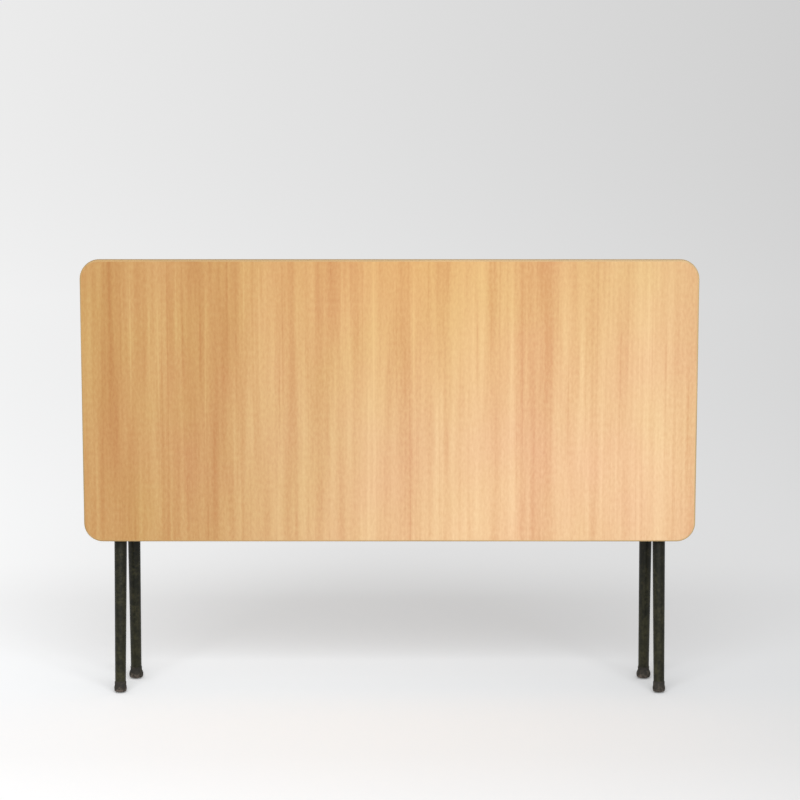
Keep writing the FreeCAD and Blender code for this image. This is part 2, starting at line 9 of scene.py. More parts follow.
import bmesh
import bpy
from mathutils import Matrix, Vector


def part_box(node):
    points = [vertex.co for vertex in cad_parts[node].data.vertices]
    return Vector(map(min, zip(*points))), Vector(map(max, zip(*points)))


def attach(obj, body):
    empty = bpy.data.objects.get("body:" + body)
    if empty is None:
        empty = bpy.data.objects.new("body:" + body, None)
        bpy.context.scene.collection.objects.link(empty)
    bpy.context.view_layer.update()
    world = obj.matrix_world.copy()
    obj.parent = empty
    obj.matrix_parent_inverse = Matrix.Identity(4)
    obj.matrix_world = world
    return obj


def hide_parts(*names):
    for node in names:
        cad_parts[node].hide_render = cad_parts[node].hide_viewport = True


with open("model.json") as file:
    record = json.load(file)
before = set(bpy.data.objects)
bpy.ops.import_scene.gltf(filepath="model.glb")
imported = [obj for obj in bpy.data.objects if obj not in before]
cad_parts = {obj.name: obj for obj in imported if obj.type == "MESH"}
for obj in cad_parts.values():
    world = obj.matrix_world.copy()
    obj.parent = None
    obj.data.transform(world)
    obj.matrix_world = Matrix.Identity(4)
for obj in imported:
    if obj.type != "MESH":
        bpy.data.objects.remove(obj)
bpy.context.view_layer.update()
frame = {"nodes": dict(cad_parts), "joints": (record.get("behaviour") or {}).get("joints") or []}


# Spine: a cross tube of drawn steel with a threaded plug in each end, dipped in the same
# green-black enamel as the legs. Dipping leaves soft sags and a faint brown undertone.
def linear(colour):
    """Turn an sRGB hex colour to the linear values that Blender's sockets take."""
    parts = [int(colour[start:start + 2], 16) / 255 for start in (1, 3, 5)]
    return [part / 12.92 if part <= 0.04045 else ((part + 0.055) / 1.055) ** 2.4 for part in parts] + [1]


def add(tree, kind, inputs=None, stops=(), **settings):
    """Add a node to a tree. Settings are its own properties, inputs are its sockets, each with
    a plain value or another node's output, and stops are the colours of a ramp."""
    node = tree.nodes.new(kind)
    for name, value in settings.items():
        setattr(node, name, value)
    for name, value in (inputs or {}).items():
        if isinstance(value, bpy.types.NodeSocket):
            tree.links.new(value, node.inputs[name])
        else:
            node.inputs[name].default_value = value
    for index, (place, colour) in enumerate(stops):
        ramp = node.color_ramp.elements
        stop = ramp[index] if index < 2 else ramp.new(place)
        stop.position = place
        stop.color = linear(colour)
    return node


def finish(name, **sockets):
    """A new material, with the constants of its Principled shader set on the shader itself."""
    material = bpy.data.materials.new(name)
    material.use_nodes = True
    shader = material.node_tree.nodes["Principled BSDF"]
    for socket, value in sockets.items():
        shader.inputs[socket.replace("_", " ")].default_value = value
    return material, material.node_tree, shader


def dress(material, *names):
    """Give CAD nodes a material."""
    for name in names:
        for slot in frame["nodes"][name].material_slots:
            slot.material = material


# dipped enamel on steel: nearly black green, browner where it is thin, satin with slight sags,
# and greyer towards the floor from dust and scuffs
enamel, tree, shader = finish("dipped_enamel", IOR=1.5, Specular_IOR_Level=0.18)
spot = add(tree, "ShaderNodeTexCoord").outputs["Object"]
sag_size, speck_size, peel_size, peel_depth = 0.030, 0.006, 0.0022, 0.0003
scuff_height, scuff_share = 0.30, 0.11
sags = add(tree, "ShaderNodeTexNoise", {"Vector": spot, "Scale": 1 / sag_size, "Detail": 4.0})
specks = add(tree, "ShaderNodeTexNoise", {"Vector": spot, "Scale": 1 / speck_size, "Detail": 3.0})
place = add(tree, "ShaderNodeSeparateXYZ", {"Vector": spot}).outputs
scuffs = add(tree, "ShaderNodeMapRange", {"Value": place["Z"], "From Min": scuff_height, "From Max": 0.0,
                                          "To Max": scuff_share})
mottle = add(tree, "ShaderNodeMath", {0: sags.outputs["Fac"], 1: specks.outputs["Fac"],
                                      2: scuffs.outputs["Result"]}, operation="MULTIPLY_ADD")
shade = add(tree, "ShaderNodeValToRGB", {"Fac": mottle.outputs["Value"]},
            stops=((0.10, "#0E1009"), (0.25, "#1B1B11"), (0.50, "#363422")))
tree.links.new(shade.outputs["Color"], shader.inputs["Base Color"])
gloss = add(tree, "ShaderNodeMapRange", {"Value": specks.outputs["Fac"], "To Min": 0.30, "To Max": 0.50})
tree.links.new(gloss.outputs["Result"], shader.inputs["Roughness"])
peel = add(tree, "ShaderNodeTexNoise", {"Vector": spot, "Scale": 1 / peel_size, "Detail": 2.0})
bump = add(tree, "ShaderNodeBump", {"Height": peel.outputs["Fac"], "Strength": 0.25, "Distance": peel_depth})
tree.links.new(bump.outputs["Normal"], shader.inputs["Normal"])
dress(enamel, "spine_tube")

# Pivot stack: plugs, bolts, spacers and washers of zinc-plated steel on each end of the spine.
# Passivated zinc is a pale grey metal with a faint blue and yellow bloom and turning marks.
zinc, tree, shader = finish("zinc_plated_steel", Metallic=1.0)
spot = add(tree, "ShaderNodeTexCoord").outputs["Object"]
bloom_size, mark_size, mark_depth = 0.009, 0.0011, 0.0001
bloom = add(tree, "ShaderNodeTexNoise", {"Vector": spot, "Scale": 1 / bloom_size, "Detail": 3.0})
tint = add(tree, "ShaderNodeValToRGB", {"Fac": bloom.outputs["Fac"]},
           stops=((0.30, "#9BA2A9"), (0.52, "#B9BBBA"), (0.72, "#C4BFAE")))
tree.links.new(tint.outputs["Color"], shader.inputs["Base Color"])
marks = add(tree, "ShaderNodeTexNoise", {"Vector": spot, "Scale": 1 / mark_size, "Detail": 2.0})
gloss = add(tree, "ShaderNodeMapRange", {"Value": marks.outputs["Fac"], "To Min": 0.26, "To Max": 0.48})
tree.links.new(gloss.outputs["Result"], shader.inputs["Roughness"])
bump = add(tree, "ShaderNodeBump", {"Height": marks.outputs["Fac"], "Strength": 0.15, "Distance": mark_depth})
tree.links.new(bump.outputs["Normal"], shader.inputs["Normal"])
dress(zinc, "spine_plugs", "pivot_bolts", "eye_spacers", "thrust_washers")

# Front frame: the outer pair of tapered tube legs, pressed flat at the axis, with a welded
# stretcher and the index plates, all dipped in enamel after welding. Hand-laid weld beads run
# round the stretcher's coped ends and along the eyes' rims on the index plates.
dress(enamel, "front_leg_left", "front_leg_right", "front_stretcher", "index_plate_left", "index_plate_right")
dress(zinc, "stay_pivots", "cap_nuts")

bead_step, bead_sides = 0.0004, 10
weld = bpy.data.node_groups.new("weld_bead", "GeometryNodeTree")
for name, kind in (("Path", "Geometry"), ("Bead Radius", "Float"), ("Ripple Pitch", "Float"),
                   ("Ripple Depth", "Float"), ("Finish", "Material")):
    weld.interface.new_socket(name, in_out="INPUT", socket_type="NodeSocket" + kind)
weld.interface.new_socket("Bead", in_out="OUTPUT", socket_type="NodeSocketGeometry")
given = add(weld, "NodeGroupInput").outputs
line = add(weld, "GeometryNodeMeshToCurve", {"Mesh": given["Path"]})
steps = add(weld, "GeometryNodeResampleCurve", {"Curve": line.outputs["Curve"], "Length": bead_step},
            mode="LENGTH")
run = add(weld, "GeometryNodeSplineParameter").outputs["Length"]
ripples = add(weld, "ShaderNodeMath", {0: run, 1: given["Ripple Pitch"]}, operation="DIVIDE")
swing = add(weld, "ShaderNodeMath", {0: ripples.outputs["Value"], 1: math.tau}, operation="MULTIPLY")
wave = add(weld, "ShaderNodeMath", {0: swing.outputs["Value"]}, operation="SINE")
swell = add(weld, "ShaderNodeMath", {0: wave.outputs["Value"], 1: given["Ripple Depth"],
                                     2: given["Bead Radius"]}, operation="MULTIPLY_ADD")
ring = add(weld, "GeometryNodeCurvePrimitiveCircle", {"Resolution": bead_sides, "Radius": 1.0})
bead = add(weld, "GeometryNodeCurveToMesh", {"Curve": steps.outputs["Curve"],
                                             "Profile Curve": ring.outputs["Curve"],
                                             "Scale": swell.outputs["Value"], "Fill Caps": True})
real = add(weld, "GeometryNodeRealizeInstances", {"Geometry": bead.outputs["Mesh"]})
coat = add(weld, "GeometryNodeSetMaterial", {"Geometry": real.outputs["Geometry"],
                                             "Material": given["Finish"]})
add(weld, "NodeGroupOutput", {"Bead": coat.outputs["Geometry"]})
crease = math.radians(40)


def grown(name, seed_mesh, tree, sizes):
    """A piece that a tree of geometry nodes grows from a mesh, kept as a plain smooth mesh."""
    piece = bpy.data.objects.new(name, seed_mesh)
    bpy.context.collection.objects.link(piece)
    grow = piece.modifiers.new("grow", "NODES")
    grow.node_group = tree
    for socket in tree.interface.items_tree:
        if socket.name in sizes:
            grow[socket.identifier] = sizes[socket.name]
    depsgraph = bpy.context.evaluated_depsgraph_get()
    solid = bpy.data.meshes.new_from_object(piece.evaluated_get(depsgraph))
    piece.modifiers.remove(grow)
    piece.data = solid
    solid.set_sharp_from_angle(angle=crease)
    return piece


axis_depth, axis_height = next(joint["pos_m"][1:] for joint in frame["joints"] if joint["name"] == "top_tip")
stretcher_reach, stretcher_radius, cope_steps = 0.280, 0.010, 60
leg_thick, leg_thin, taper_start, taper_length = 0.0158, 0.0124, 0.130, 0.540


def on_leg(x, y, z, lean):
    """Turn a point from a leg's own upright frame about the spine's axis to the leg's lean."""
    turn = math.radians(lean)
    return (x, axis_depth + y * math.cos(turn) - z * math.sin(turn),
            axis_height + y * math.sin(turn) + z * math.cos(turn))


def coped_ends(leg_x, lean):
    """The closed lines where a stretcher's ends meet the sides of the two tapered legs."""
    lines = []
    for side in (-1, 1):
        line = []
        for step in range(cope_steps):
            turn = math.tau * step / cope_steps
            y, z = stretcher_radius * math.cos(turn), stretcher_radius * math.sin(turn) - stretcher_reach
            leg_radius = leg_thick - (leg_thick - leg_thin) * (-z - taper_start) / taper_length
            line.append(on_leg(side * (leg_x - math.sqrt(leg_radius ** 2 - y ** 2)), y, z, lean))
        lines.append((line, True))
    return lines


def path_mesh(name, lines):
    """A mesh of bare edges along some lines, each open or closed."""
    points, edges = [], []
    for line, closed in lines:
        first = len(points)
        points += line
        edges += [(index, index + 1) for index in range(first, len(points) - 1)]
        if closed:
            edges.append((len(points) - 1, first))
    path = bpy.data.meshes.new(name)
    path.from_pydata(points, edges, [])
    return path


plate_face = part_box("index_plate_right")[0].x
rim_radius, rim_steps, rim_arcs = 0.022, 30, ((68, 118), (150, 200))
rims = []
for side in (-1, 1):
    for start, end in rim_arcs:
        turns = [math.radians(start + (end - start) * step / rim_steps) for step in range(rim_steps + 1)]
        rims.append(([(side * plate_face, axis_depth + rim_radius * math.cos(turn),
                       axis_height + rim_radius * math.sin(turn)) for turn in turns], False))
front_leg_x, front_lean = 0.620, -10.5
bead_sizes = {"Bead Radius": 0.0019, "Ripple Pitch": 0.0021, "Ripple Depth": 0.00022, "Finish": enamel}
front_welds = grown("front_welds", path_mesh("front_weld_path", coped_ends(front_leg_x, front_lean) + rims),
                    weld, bead_sizes)
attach(front_welds, "front_frame")

# Rear frame: the inner pair of legs with its own welded stretcher, and the shouldered studs that
# the stays slide on. The studs are turned from steel bar, threaded for the wing nuts and plated.
dress(enamel, "rear_leg_left", "rear_leg_right", "rear_stretcher")
rear_leg_x, rear_lean = 0.5945, 0.25
rear_welds = grown("rear_welds", path_mesh("rear_weld_path", coped_ends(rear_leg_x, rear_lean)),
                   weld, bead_sizes)
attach(rear_welds, "rear_frame")


def turned(form, profile, segments, centre, facing, shaped=None):
    """Add a closed lathe-turned form along X to a bmesh, from steps of (distance, radius) from a
    centre, facing -1 or 1. Shaped may change a radius by its distance and angle."""
    rows = []
    for distance, radius in profile:
        row = []
        for step in range(segments):
            turn = math.tau * step / segments
            size = shaped(distance, radius, turn) if shaped else radius
            row.append(form.verts.new((centre[0] + facing * distance, centre[1] + size * math.cos(turn),
                                       centre[2] + size * math.sin(turn))))
        rows.append(row)
    faces = [form.faces.new(rows[0]), form.faces.new(rows[-1])]
    for near, far in zip(rows, rows[1:]):
        for step in range(segments):
            after = (step + 1) % segments
            faces.append(form.faces.new((near[step], near[after], far[after], far[step])))
    bmesh.ops.recalc_face_normals(form, faces=faces)


def as_piece(name, form, material):
    """Make a bmesh an object with one material, smooth but for its sharp edges."""
    solid = bpy.data.meshes.new(name)
    form.to_mesh(solid)
    form.free()
    solid.materials.append(material)
    solid.set_sharp_from_angle(angle=crease)
    piece = bpy.data.objects.new(name, solid)
    bpy.context.collection.objects.link(piece)
    return piece


stud_root, stud_reach, stud_radius, stud_length, stud_sides = 0.5815, 0.200, 0.0040, 0.0217, 40
shoulder_radius, shoulder_end, shoulder_bevel = 0.0055, 0.0048, 0.0004
thread_start, thread_end, thread_pitch, thread_depth, thread_rows = 0.0088, 0.0210, 0.00125, 0.0007, 60
chamfer_length, chamfer_top, chamfer_foot = 0.0006, 0.0005, 0.0010


def threaded(distance, radius, turn):
    """A thread of pointed ridges, cut into the stud from its crest."""
    if distance <= thread_start or distance > thread_end:
        return radius
    part = (distance / thread_pitch + turn / math.tau) % 1
    return radius - thread_depth * abs(2 * part - 1)


shoulder = [(0.0, shoulder_radius), (shoulder_end - shoulder_bevel, shoulder_radius),
            (shoulder_end, shoulder_radius - shoulder_bevel), (shoulder_end, stud_radius)]
thread = [(thread_start + (thread_end - thread_start) * row / thread_rows, stud_radius)
          for row in range(thread_rows)]
chamfer = [(stud_length - chamfer_length, stud_radius - chamfer_top),
           (stud_length, stud_radius - chamfer_foot)]
form = bmesh.new()
for side in (-1, 1):
    turned(form, shoulder + thread + chamfer, stud_sides, on_leg(side * stud_root, 0, -stud_reach, rear_lean),
           -side, threaded)
studs = as_piece("threaded_studs", form, zinc)
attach(studs, "rear_frame")
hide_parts("stay_studs")

# Feet: moulded rubber ferrules pushed over the legs' ends, and the buffers that keep the hanging
# top off the front stretcher. Black rubber greys and browns with dust, most of all round the tread.
rubber, tree, shader = finish("moulded_rubber", IOR=1.52, Specular_IOR_Level=0.35)
spot = add(tree, "ShaderNodeTexCoord").outputs["Object"]
dust_size, pit_size, pit_depth, tread_height = 0.0070, 0.0009, 0.0003, 0.018
dust = add(tree, "ShaderNodeTexNoise", {"Vector": spot, "Scale": 1 / dust_size, "Detail": 3.0})
place = add(tree, "ShaderNodeSeparateXYZ", {"Vector": spot}).outputs
low = add(tree, "ShaderNodeMapRange", {"Value": place["Z"], "From Min": 0.0, "From Max": tread_height,
                                       "To Min": 0.28, "To Max": 0.0})
dusty = add(tree, "ShaderNodeMath", {0: dust.outputs["Fac"], 1: low.outputs["Result"]}, operation="ADD")
shade = add(tree, "ShaderNodeValToRGB", {"Fac": dusty.outputs["Value"]},
            stops=((0.32, "#1A1813"), (0.58, "#2E2A23"), (0.90, "#685D53")))
tree.links.new(shade.outputs["Color"], shader.inputs["Base Color"])
gloss = add(tree, "ShaderNodeMapRange", {"Value": dusty.outputs["Value"], "To Min": 0.6, "To Max": 0.95})
tree.links.new(gloss.outputs["Result"], shader.inputs["Roughness"])
pits = add(tree, "ShaderNodeTexNoise", {"Vector": spot, "Scale": 1 / pit_size, "Detail": 2.0})
bump = add(tree, "ShaderNodeBump", {"Height": pits.outputs["Fac"], "Strength": 0.4, "Distance": pit_depth})
tree.links.new(bump.outputs["Normal"], shader.inputs["Normal"])
dress(rubber, "front_foot_left", "front_foot_right", "rear_foot_left", "rear_foot_right", "rest_buffers")

# Stays: punched steel strips, zinc plated, one on each side from the front leg's pivot to the rear
# leg's stud. Their slots stop the legs at full spread, and wing nuts clamp them.
dress(zinc, "stay_left", "stay_right", "wing_nut_left", "wing_nut_right")

# Core board: softwood blockboard, seen only where a screw hole opens it. Its strips lie across
# the veneers' grain, pale yellow with faint darker rings.
core, tree, shader = finish("softwood_core", Roughness=0.8, IOR=1.45)
spot = add(tree, "ShaderNodeTexCoord").outputs["Object"]
strip_width, strip_length = 0.020, 0.500
along = add(tree, "ShaderNodeMapping", {"Vector": spot,
                                        "Scale": (1 / strip_length, 1 / strip_width, 1 / strip_width)})
rings = add(tree, "ShaderNodeTexNoise", {"Vector": along.outputs["Vector"], "Scale": 1.0, "Detail": 4.0})
shade = add(tree, "ShaderNodeValToRGB", {"Fac": rings.outputs["Fac"]},
            stops=((0.3, "#C9A877"), (0.7, "#E2C99C")))
tree.links.new(shade.outputs["Color"], shader.inputs["Base Color"])
dress(core, "top_board")

# Face veneer: one straight-grained leaf laid across the top, so its grain runs along the short
# side, under a satin lacquer. Soft streaks, sparse sharper veins and short flecks follow the grain.
# The leaf pales from one end of the top to the other, partly its own tone and partly painted sheen, with
# rosier and yellower patches.
veneer, tree, shader = finish("lacquered_veneer", IOR=1.5)
spot = add(tree, "ShaderNodeTexCoord").outputs["Object"]

# streaks from broad to fine, each with its width, length, noise detail, share and shift: the last
# stands for pores, which are finer on a real leaf and drawn as coarse as they need to show
streaks = ((0.130, 2.200, 1.0, 0.28, 4.9), (0.038, 2.000, 0.0, 0.26, 3.1), (0.017, 0.500, 1.0, 0.25, 0.0),
           (0.0090, 0.180, 2.0, 0.14, 0.0), (0.0048, 0.011, 1.0, 0.22, 0.0))
figure = -0.08  # keeps the sum of the streaks near the middle of the colours below
for width, length, detail, share, shift in streaks:
    along = add(tree, "ShaderNodeMapping", {"Vector": spot, "Scale": (1 / width, 1.0, 1 / length),
                                            "Location": (shift, shift, shift)})
    fibre = add(tree, "ShaderNodeTexNoise", {"Vector": along.outputs["Vector"], "Scale": 1.0,
                                             "Detail": detail}).outputs["Fac"]
    figure = add(tree, "ShaderNodeMath", {0: fibre, 1: share, 2: figure},
                 operation="MULTIPLY_ADD").outputs["Value"]
vein_width, vein_length, vein_sharpness, vein_share = 0.0065, 0.55, 3.0, 2.8
along = add(tree, "ShaderNodeMapping", {"Vector": spot, "Scale": (1 / vein_width, 1.0, 1 / vein_length)})
veins = add(tree, "ShaderNodeTexNoise", {"Vector": along.outputs["Vector"], "Scale": 1.0, "Detail": 0.0})
swing = add(tree, "ShaderNodeMath", {0: veins.outputs["Fac"], 1: 0.5}, operation="SUBTRACT")
sharp = add(tree, "ShaderNodeMath", {0: swing.outputs["Value"], 1: vein_sharpness}, operation="POWER")
figure = add(tree, "ShaderNodeMath", {0: sharp.outputs["Value"], 1: vein_share, 2: figure},
             operation="MULTIPLY_ADD").outputs["Value"]
warm = add(tree, "ShaderNodeValToRGB", {"Fac": figure},
           stops=((0.34, "#A67135"), (0.50, "#B28549"), (0.66, "#BD975B")))
pale = add(tree, "ShaderNodeValToRGB", {"Fac": figure},
           stops=((0.34, "#CC9B6D"), (0.50, "#D8B082"), (0.66, "#E1BF91")))

# the leaf's slow changes: paler to the right, partly its own tone and partly painted sheen; paler below,
# painted sheen and painted light; amber in the upper middle
upper_edge, lower_edge = 1.0, 0.35
place = add(tree, "ShaderNodeSeparateXYZ", {"Vector": spot}).outputs
across = add(tree, "ShaderNodeMapRange", {"Value": place["X"], "From Min": -0.75, "From Max": 0.42},
             interpolation_type="SMOOTHSTEP")
# painted sheen and painted light: the top grows paler towards its lower edge
painted_sheen_down = add(tree, "ShaderNodeMapRange", {"Value": place["Z"], "From Min": upper_edge, "From Max": lower_edge,
                                        "To Min": 0.59, "To Max": 1.15})
tone_and_painted_sheen = add(tree, "ShaderNodeMath", {0: across.outputs["Result"], 1: painted_sheen_down.outputs["Result"]},
             operation="MULTIPLY")
leaf = add(tree, "ShaderNodeMix", {0: tone_and_painted_sheen.outputs["Value"], 6: warm.outputs["Color"],
                                   7: pale.outputs["Color"]}, data_type="RGBA")
amber_x, amber_reach, amber_start = 0.05, 0.75, 0.60
up = add(tree, "ShaderNodeMapRange", {"Value": place["Z"], "From Min": amber_start, "From Max": upper_edge})
aside = add(tree, "ShaderNodeMath", {0: place["X"], 1: amber_x}, operation="SUBTRACT")
aside = add(tree, "ShaderNodeMath", {0: aside.outputs["Value"]}, operation="ABSOLUTE")
middle = add(tree, "ShaderNodeMapRange", {"Value": aside.outputs["Value"], "From Max": amber_reach,
                                          "To Min": 1.0, "To Max": 0.0})
amber = add(tree, "ShaderNodeMath", {0: middle.outputs["Result"], 1: up.outputs["Result"]},
            operation="MULTIPLY")
aged = add(tree, "ShaderNodeMix", {0: amber.outputs["Value"], 6: leaf.outputs[2], 7: linear("#FFF6DA")},
           data_type="RGBA", blend_type="MULTIPLY")
patch_width, patch_length = 0.21, 0.35
patch = add(tree, "ShaderNodeMapping", {"Vector": spot, "Scale": (1 / patch_width, 1.0, 1 / patch_length)})
blush = add(tree, "ShaderNodeTexNoise", {"Vector": patch.outputs["Vector"], "Scale": 1.0, "Detail": 3.0})
drift = add(tree, "ShaderNodeMapRange", {"Value": blush.outputs["Fac"], "From Min": 0.3, "From Max": 0.7,
                                         "To Min": 0.492, "To Max": 0.505})
# painted light from below: the top is a touch lighter towards its lower edge
painted_floor_light = add(tree, "ShaderNodeMapRange", {"Value": place["Z"], "From Min": upper_edge, "From Max": lower_edge,
                                        "To Min": 0.99, "To Max": 1.015})
wood = add(tree, "ShaderNodeHueSaturation", {"Hue": drift.outputs["Result"], "Value": painted_floor_light.outputs["Result"],
                                             "Color": aged.outputs[2]})
tree.links.new(wood.outputs["Color"], shader.inputs["Base Color"])
fleck_depth = 0.0002
gloss = add(tree, "ShaderNodeMapRange", {"Value": fibre, "To Min": 0.40, "To Max": 0.52})
tree.links.new(gloss.outputs["Result"], shader.inputs["Roughness"])
bump = add(tree, "ShaderNodeBump", {"Height": fibre, "Strength": 0.12, "Distance": fleck_depth})
tree.links.new(bump.outputs["Normal"], shader.inputs["Normal"])
dress(veneer, "face_veneer")

# Lipping: a solid wood edge glued round the board and rounded over, a little darker and greyer
# than the veneer. Its grain follows each side of the top. Like the face, it is yellower to the
# left and paler to the right, partly its own tone and partly painted sheen.
lipping, tree, shader = finish("solid_lipping", IOR=1.5)
spot = add(tree, "ShaderNodeTexCoord").outputs["Object"]
strand_width, strand_length, strand_depth = 0.004, 0.250, 0.0002
strands = []
for size in ((1 / strand_length, 1 / strand_width, 1 / strand_width),
             (1 / strand_width, 1 / strand_width, 1 / strand_length)):
    along = add(tree, "ShaderNodeMapping", {"Vector": spot, "Scale": size})
    strands.append(add(tree, "ShaderNodeTexNoise", {"Vector": along.outputs["Vector"], "Scale": 1.0,
                                                    "Detail": 3.0}).outputs["Fac"])
corner_start, corner_end = 0.665, 0.690
place = add(tree, "ShaderNodeSeparateXYZ", {"Vector": spot}).outputs
from_middle = add(tree, "ShaderNodeMath", {0: place["X"]}, operation="ABSOLUTE")
on_end = add(tree, "ShaderNodeMapRange", {"Value": from_middle.outputs["Value"], "From Min": corner_start,
                                          "From Max": corner_end})
strand = add(tree, "ShaderNodeMix", {0: on_end.outputs["Result"], 2: strands[0], 3: strands[1]}).outputs[0]
shade = add(tree, "ShaderNodeValToRGB", {"Fac": strand},
            stops=((0.30, "#B09366"), (0.5, "#BE9E6E"), (0.72, "#C9A775")))
# painted sheen, as on the face: darker and yellower to the left, paler to the right, partly the wood's own
# tone
across = add(tree, "ShaderNodeMapRange", {"Value": place["X"], "From Min": -0.75, "From Max": 0.30})
tone_and_painted_sheen_across = add(tree, "ShaderNodeValToRGB", {"Fac": across.outputs["Result"]},
              stops=((0.0, "#EBE1C5"), (1.0, "#FFFFFF")))
lipping_tinted = add(tree, "ShaderNodeMix", {0: 1.0, 6: shade.outputs["Color"], 7: tone_and_painted_sheen_across.outputs["Color"]},
           data_type="RGBA", blend_type="MULTIPLY")
tree.links.new(lipping_tinted.outputs[2], shader.inputs["Base Color"])
gloss = add(tree, "ShaderNodeMapRange", {"Value": strand, "To Min": 0.42, "To Max": 0.58})
tree.links.new(gloss.outputs["Result"], shader.inputs["Roughness"])
bump = add(tree, "ShaderNodeBump", {"Height": strand, "Strength": 0.15, "Distance": strand_depth})
tree.links.new(bump.outputs["Normal"], shader.inputs["Normal"])
dress(lipping, "edge_lipping")

# Backing veneer: a plain balancing leaf of a cheaper, pinker wood, glued to the underside so that
# the board stays flat. It is only sealed, so it is duller than the face.
backing, tree, shader = finish("sealed_backing", IOR=1.47)
spot = add(tree, "ShaderNodeTexCoord").outputs["Object"]
layers = []
for width, length in ((0.060, 1.500), (0.0045, 0.090)):
    along = add(tree, "ShaderNodeMapping", {"Vector": spot, "Scale": (1 / width, 1.0, 1 / length)})
    layers.append(add(tree, "ShaderNodeTexNoise", {"Vector": along.outputs["Vector"], "Scale": 1.0,
                                                   "Detail": 4.0}).outputs["Fac"])
fine_share, grain_depth = 0.6, 0.0003
figure = add(tree, "ShaderNodeMath", {0: layers[1], 1: fine_share, 2: layers[0]}, operation="MULTIPLY_ADD")
shade = add(tree, "ShaderNodeValToRGB", {"Fac": figure.outputs["Value"]},
            stops=((0.60, "#BB906B"), (0.80, "#CEA782"), (1.0, "#DCB996")))
tree.links.new(shade.outputs["Color"], shader.inputs["Base Color"])
gloss = add(tree, "ShaderNodeMapRange", {"Value": layers[1], "To Min": 0.55, "To Max": 0.75})
tree.links.new(gloss.outputs["Result"], shader.inputs["Roughness"])
bump = add(tree, "ShaderNodeBump", {"Height": layers[1], "Strength": 0.2, "Distance": grain_depth})
tree.links.new(bump.outputs["Normal"], shader.inputs["Normal"])
dress(backing, "backing_veneer")

# Battens: planed beech rails screwed along the underside, with bevelled ends. Beech shows short
# darker flecks along its grain.
beech, tree, shader = finish("planed_beech", IOR=1.5)
spot = add(tree, "ShaderNodeTexCoord").outputs["Object"]
layers = []
for width, length in ((0.014, 0.500), (0.0012, 0.006)):
    along = add(tree, "ShaderNodeMapping", {"Vector": spot, "Scale": (1 / length, 1 / width, 1 / width)})
    layers.append(add(tree, "ShaderNodeTexNoise", {"Vector": along.outputs["Vector"], "Scale": 1.0,
                                                   "Detail": 3.0}).outputs["Fac"])
fleck = add(tree, "ShaderNodeMapRange", {"Value": layers[1], "From Min": 0.60, "From Max": 0.72,
                                         "To Min": 0.0, "To Max": -0.22})
figure = add(tree, "ShaderNodeMath", {0: layers[0], 1: fleck.outputs["Result"]},
             operation="ADD").outputs["Value"]
shade = add(tree, "ShaderNodeValToRGB", {"Fac": figure},
            stops=((0.25, "#A9743F"), (0.50, "#CC9C66"), (0.72, "#DDB584")))
tree.links.new(shade.outputs["Color"], shader.inputs["Base Color"])
plane_mark_depth = 0.0002
gloss = add(tree, "ShaderNodeMapRange", {"Value": figure, "To Min": 0.62, "To Max": 0.46})
tree.links.new(gloss.outputs["Result"], shader.inputs["Roughness"])
bump = add(tree, "ShaderNodeBump", {"Height": figure, "Strength": 0.15, "Distance": plane_mark_depth})
tree.links.new(bump.outputs["Normal"], shader.inputs["Normal"])
dress(beech, "batten_front", "batten_back")

# Screws: slotted wood screws, zinc plated, countersunk ones through the battens and round-headed
# ones through the brackets' flanges. Each was driven home by hand, so its slot stands as it may.
driven = bpy.data.node_groups.new("driven_screws", "GeometryNodeTree")
for name, kind in (("Places", "Geometry"), ("Screw", "Object"), ("Slot Seed", "Int"), ("Finish", "Material")):
    driven.interface.new_socket(name, in_out="INPUT", socket_type="NodeSocket" + kind)
driven.interface.new_socket("Screws", in_out="OUTPUT", socket_type="NodeSocketGeometry")
given = add(driven, "NodeGroupInput").outputs
screw = add(driven, "GeometryNodeObjectInfo", {"Object": given["Screw"]})
slot_turn = add(driven, "FunctionNodeRandomValue", {2: 0.0, 3: math.pi, "Seed": given["Slot Seed"]})
facing = add(driven, "ShaderNodeCombineXYZ", {"X": slot_turn.outputs[1], "Z": -math.pi / 2})
row = add(driven, "GeometryNodeInstanceOnPoints", {"Points": given["Places"],
                                                   "Instance": screw.outputs["Geometry"],
                                                   "Rotation": facing.outputs["Vector"]})
real = add(driven, "GeometryNodeRealizeInstances", {"Geometry": row.outputs["Instances"]})
coat = add(driven, "GeometryNodeSetMaterial", {"Geometry": real.outputs["Geometry"],
                                               "Material": given["Finish"]})
add(driven, "NodeGroupOutput", {"Screws": coat.outputs["Geometry"]})

head_radius, head_height, head_bevel, shank_radius = 0.0044, 0.0026, 0.0002, 0.0022
slot_width, slot_depth, tip_length, tip_radius, screw_sides = 0.0011, 0.0012, 0.0020, 0.0003, 28
sunk_head = [(0.0, head_radius - head_bevel), (head_bevel, head_radius), (head_height, shank_radius)]
round_head = [(head_height * (1 - math.cos(turn)), head_radius * math.sin(turn))
              for turn in (math.radians(angle) for angle in (8, 20, 34, 48, 62, 76, 90))]
round_head.append((head_height, shank_radius))
batten_face, batten_rise, batten_columns = -0.0337, 0.150, (-0.5074, -0.177, 0.177, 0.5074)
batten_places = [(x, batten_face, axis_height + z) for x in batten_columns
                 for z in (-batten_rise, batten_rise)]
flange_face, flange_x, flange_rows = -0.0490, 0.6547, (-0.0946, -0.044, 0.044, 0.0946)
flange_places = [(side * flange_x, flange_face, axis_height + z) for side in (-1, 1) for z in flange_rows]
sunk_shank, round_shank = 0.0316, 0.0164
